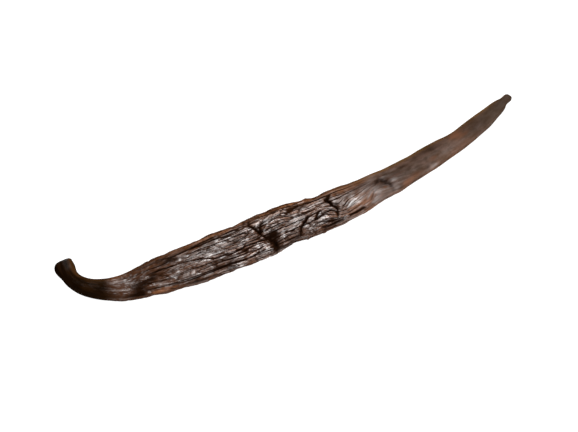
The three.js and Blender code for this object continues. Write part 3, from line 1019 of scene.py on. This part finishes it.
def add_flakes(skin):
    """Adds each flake's tilt, its offset from the cell's centre times a random direction, its
    tone, which is random, and the cracks between flakes."""
    warp = skin.place.noise(WARP_GRAIN, 2.0, "Color")
    place = skin.place.vector("ADD", warp.scaled(WARP_SHIFT)).scaled(FLAKE_CELLS)
    colour = place.cells("Color")
    gap = place.vector("SUBTRACT", place.cells("Position"))
    leaning = colour.vector("SUBTRACT", (0.5, 0.5, 0.5))
    border = place.cells("Distance", "DISTANCE_TO_EDGE")
    skin.flake_tilt = gap.vector("DOT_PRODUCT", leaning, "Value")
    skin.flake_crack = (1 - border.stepped(0.0, CRACK_WIDTH)) * skin.fine
    skin.flake_tone = colour.brightness().stepped(0.35, 0.65)


add_flakes(skin)
print("a flake, mm:", [round(1 / cells, 2) for cells in FLAKE_CELLS[:2]])

# %% [markdown]
# ### Colour
# The browns go over each other in layers, as they lie on the pod: streaks first, then the
# stretches of the pod, its clouds and rims, the russet marks, the black of the valleys,
# which is painted shade, and the golden far edge, paler with painted light. The stem has a
# colour of its own. One ramp over one noise would be shorter, but it would put every brown
# everywhere.

# %% Colour
def skin_colour(skin):
    """Each layer is mixed over the last one by its mask, and the shades multiply the result."""
    streaky = skin.streaks.stepped(0.40, 0.62) * (0.4 + skin.run.stepped(*STREAKS_START) * 0.6)
    colour = streaky.mixed(DARK_BROWN, CHOCOLATE)
    colour = (1 - skin.run.stepped(*NECK_BROWN_ENDS)).mixed(colour, NECK_BROWN)
    colour = (skin.tip * 0.97).mixed(colour, TIP_BROWN)
    pale = skin.blotches.stepped(0.38, 0.62) * skin.smooth * 0.65
    colour = pale.mixed(colour, colour.scaled(MILKY))
    colour = skin.run.stepped(*TIP_END_STARTS).mixed(colour, TIP_END_BROWN)
    colour = (skin.clouds * skin.cloudy).mixed(colour, colour.scaled(CLOUDED))
    rims = skin.rim * skin.patches.stepped(0.35, 0.60) * (0.25 + skin.run.stepped(*RIM_STARTS) * 0.35)
    colour = (rims * (1 - skin.tip * 0.8)).mixed(colour, ORANGE_BROWN)
    colour = skin.russet.mixed(colour, skin.tip.mixed(RUSSET_BROWN, RUSSET_TIP))
    # Painted shade: the valleys, creases, cracks between flakes and dark hollows are mixed towards black.
    valley_shade = 1 - (1 - skin.cavity) * (1 - skin.flake_crack * 0.6)
    colour = valley_shade.mixed(colour, SHADE_BLACK)
    # The golden far edge, partly its own colour and partly painted light along it.
    golden_and_light = skin.edge * (0.3 + skin.blotches.stepped(0.32, 0.62) * 0.35)
    colour = golden_and_light.mixed(colour, GOLDEN_BROWN)
    stem_patches = skin.patches.stepped(0.40, 0.62) * 0.6 + skin.rim * 0.4
    stem_colour = stem_patches.mixed(STEM_BLACK, STEM_BROWN)
    return skin.stem.mixed(colour, stem_colour).vector("MULTIPLY", skin.paleness)


surface_colour = skin_colour(skin)
print("nodes with the colour:", len(nodes))

# %% [markdown]
# ### Bump and gloss
# Only what is finer than the mesh is bump. The oil lies on the skin in a broken film, so the
# gloss isn't one roughness for all: the skin is part mirror-like and part dry, and a mask
# says how much of each. The mask follows the plates in the middle, blotches towards the tip,
# and the placed shines.

# %% Bump and gloss
def skin_height(skin):
    """Grain and streaks up to the smooth stretch, mottle on the neck, and the flakes."""
    grained = skin.grain * 0.4 * skin.run.stepped(*GRAIN_STARTS) + skin.streaks * 0.6
    flaky = skin.flake_tilt * 2.0 - skin.flake_crack * 0.5
    return grained * (1 - skin.run.stepped(*GRAIN_ENDS)) + skin.mottle * skin.neck + flaky * skin.fine


def skin_polish(skin):
    """Share of the skin that is oily: a plate's or a blotch's share, times what dulls it, plus
    the shines."""
    flaked = 1 + skin.fine * (skin.flake_tone * 1.3 - 0.28)
    plate_polish = (0.25 + skin.tone.stepped(0.25, 0.75) * 0.8) * flaked
    blotch_polish = 0.34 + skin.blotches.stepped(0.30, 0.70) * 0.22 + (0.5 - skin.clouds) * skin.cloudy * 0.25
    patchy = 0.7 + skin.patches.stepped(0.38, 0.55) * 0.4
    polish = patchy * plate_polish * (1 - skin.smooth) + blotch_polish * skin.smooth
    polish = polish * (1 - skin.russet * 0.6) * (1 - skin.tip * 0.78)
    polish = polish * (0.3 + skin.run.stepped(*GLOSS_STARTS) * 0.7)
    polish = polish * (1 + skin.neck * (skin.mottle.stepped(0.42, 0.62) * 1.4 - 0.7)) * skin.oiliness
    polish = polish * (1 - skin.stem * 0.98) * (1 - skin.run.stepped(*DULL_STARTS) * 0.4)
    gleam = skin.run.stepped(*GLEAM_STARTS) * (1 - skin.run.stepped(*GLEAM_ENDS))
    return polish * (1 + gleam * 0.35) + skin.shine * (0.6 - skin.tip * 0.35)


height, polish = skin_height(skin), skin_polish(skin)
print("nodes with bump and gloss:", len(nodes))

# %% [markdown]
# ### The material
# Two shaders of the same colour and bump, an oily one and a dry one, are mixed by how dry the
# skin is. One shader with a changing specular level would be shorter, but that socket can't
# change over a surface when the model is exported.

# %% Skin material
BUMP = {"Strength": 0.5, "Distance": 0.00012}
OILY = {"IOR": 1.65, "Specular IOR Level": 0.9}
DRY = {"Roughness": 0.9, "Specular IOR Level": 0.0}

roughness = 0.22 + skin.tone * 0.18 + skin.tip * 0.2
roughness = roughness + skin.run.stepped(*SATIN_STARTS) * 0.08 - skin.shine * 0.06
bumped = skin.start.node("ShaderNodeBump", {}, {**BUMP, "Height": height})
surface = {"Base Color": surface_colour, "Normal": bumped}
oily = skin.start.node("ShaderNodeBsdfPrincipled", {}, {**surface, **OILY, "Roughness": roughness})
dry = skin.start.node("ShaderNodeBsdfPrincipled", {}, {**surface, **DRY})
wet = polish * (1 - skin.cavity) * (1 - skin.flake_crack * 0.8) * (1 - skin.dry)
shader = skin.start.node("ShaderNodeMixShader", {}, {0: 1 - wet, 1: oily, 2: dry})
skin.start.node("ShaderNodeOutputMaterial", {}, {"Surface": shader})

pod.data.materials.append(material)
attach(pod, "root")
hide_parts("pod")
print("nodes in all:", len(nodes))

# %% [markdown]
# ## The studio
# The camera looks down at the pod with a short telephoto lens, from 30 cm. A camera without
# perspective would be simpler to aim, but from this near, the end towards the lens looks
# larger than the other.

# %% Camera
AZIMUTH, ELEVATION = -28.0, 50.0
CAMERA_DISTANCE = 0.300
FOCAL_LENGTH = 70.0
SENSOR_WIDTH = 36.0
NEAREST_SEEN = 0.01  # metres
AIM = Vector((-0.0088, -0.0016, 0.00305))


def direction(azimuth, elevation):
    """Unit vector from the object towards a place at that azimuth and elevation."""
    a, e = np.radians(azimuth), np.radians(elevation)
    return Vector((np.sin(a) * np.cos(e), -np.cos(a) * np.cos(e), np.sin(e)))


def aimed(thing, place, target):
    """Put a camera or lamp at a place, looking at the target."""
    thing.location = place
    thing.rotation_euler = (target - place).to_track_quat("-Z", "Y").to_euler()
    bpy.context.scene.collection.objects.link(thing)


camera_data = bpy.data.cameras.new("camera")
camera_data.lens = FOCAL_LENGTH
camera_data.sensor_width = SENSOR_WIDTH
camera_data.clip_start = NEAREST_SEEN
camera = bpy.data.objects.new("camera", camera_data)
aimed(camera, AIM + CAMERA_DISTANCE * direction(AZIMUTH, ELEVATION), AIM)
bpy.context.scene.camera = camera
print("camera, m:", [round(value, 3) for value in camera.location])

# %% [markdown]
# ### Light and floor
# A large soft light stands behind and above, which the plates mirror as a grey sheen, and a
# second one fills in from the front. Small lamps would give small, hard highlights. The
# floor gives off most of its own white, so that it stays pale and its shadow is faint. The
# world adds a weak light from all round.

# %% Lights and floor
# name, azimuth, elevation, distance and size in metres, watts
LAMPS = [("back_softbox", 152, 53, 0.55, 0.45, 7.2), ("front_softbox", 22, 34, 0.70, 0.55, 7.6)]
FLOOR_HALF = 3.0
FLOOR_DROP = 0.00002  # metres below the pod, so that the two don't touch
FLOOR_FINISH = {
    "Base Color": (0.15, 0.15, 0.15, 1),
    "Roughness": 0.9,
    "Specular IOR Level": 0.0,
    "Emission Color": (1, 1, 1, 1),
    "Emission Strength": 0.95,
}
STUDIO_LIGHT = {"Color": (1, 1, 1, 1), "Strength": 0.40}


def soft_light(name, azimuth, elevation, distance, size, watts):
    """A square area lamp that looks at the pod."""
    data = bpy.data.lights.new(name, "AREA")
    data.shape = "SQUARE"
    data.size = size
    data.energy = watts
    lamp = bpy.data.objects.new(name, data)
    aimed(lamp, distance * direction(azimuth, elevation), Vector((0, 0, 0)))


for lamp in LAMPS:
    soft_light(*lamp)

floor_mesh = bpy.data.meshes.new("floor")
floor_corners = [(FLOOR_HALF * x, FLOOR_HALF * y, 0) for x, y in ((-1, -1), (1, -1), (1, 1), (-1, 1))]
floor_mesh.from_pydata(floor_corners, [], [(0, 1, 2, 3)])
floor = bpy.data.objects.new("floor", floor_mesh)
bpy.context.scene.collection.objects.link(floor)
floor.location.z = -FLOOR_DROP
floor_material = bpy.data.materials.new("white_floor")
floor_material.use_nodes = True
for name, value in FLOOR_FINISH.items():
    floor_material.node_tree.nodes["Principled BSDF"].inputs[name].default_value = value
floor_mesh.materials.append(floor_material)

world = bpy.data.worlds.new("studio")
world.use_nodes = True
for name, value in STUDIO_LIGHT.items():
    world.node_tree.nodes["Background"].inputs[name].default_value = value
bpy.context.scene.world = world
bpy.context.scene.view_settings.view_transform = "Standard"
print("lamps:", len(LAMPS), "floor, m:", 2 * FLOOR_HALF)

# %% [markdown]
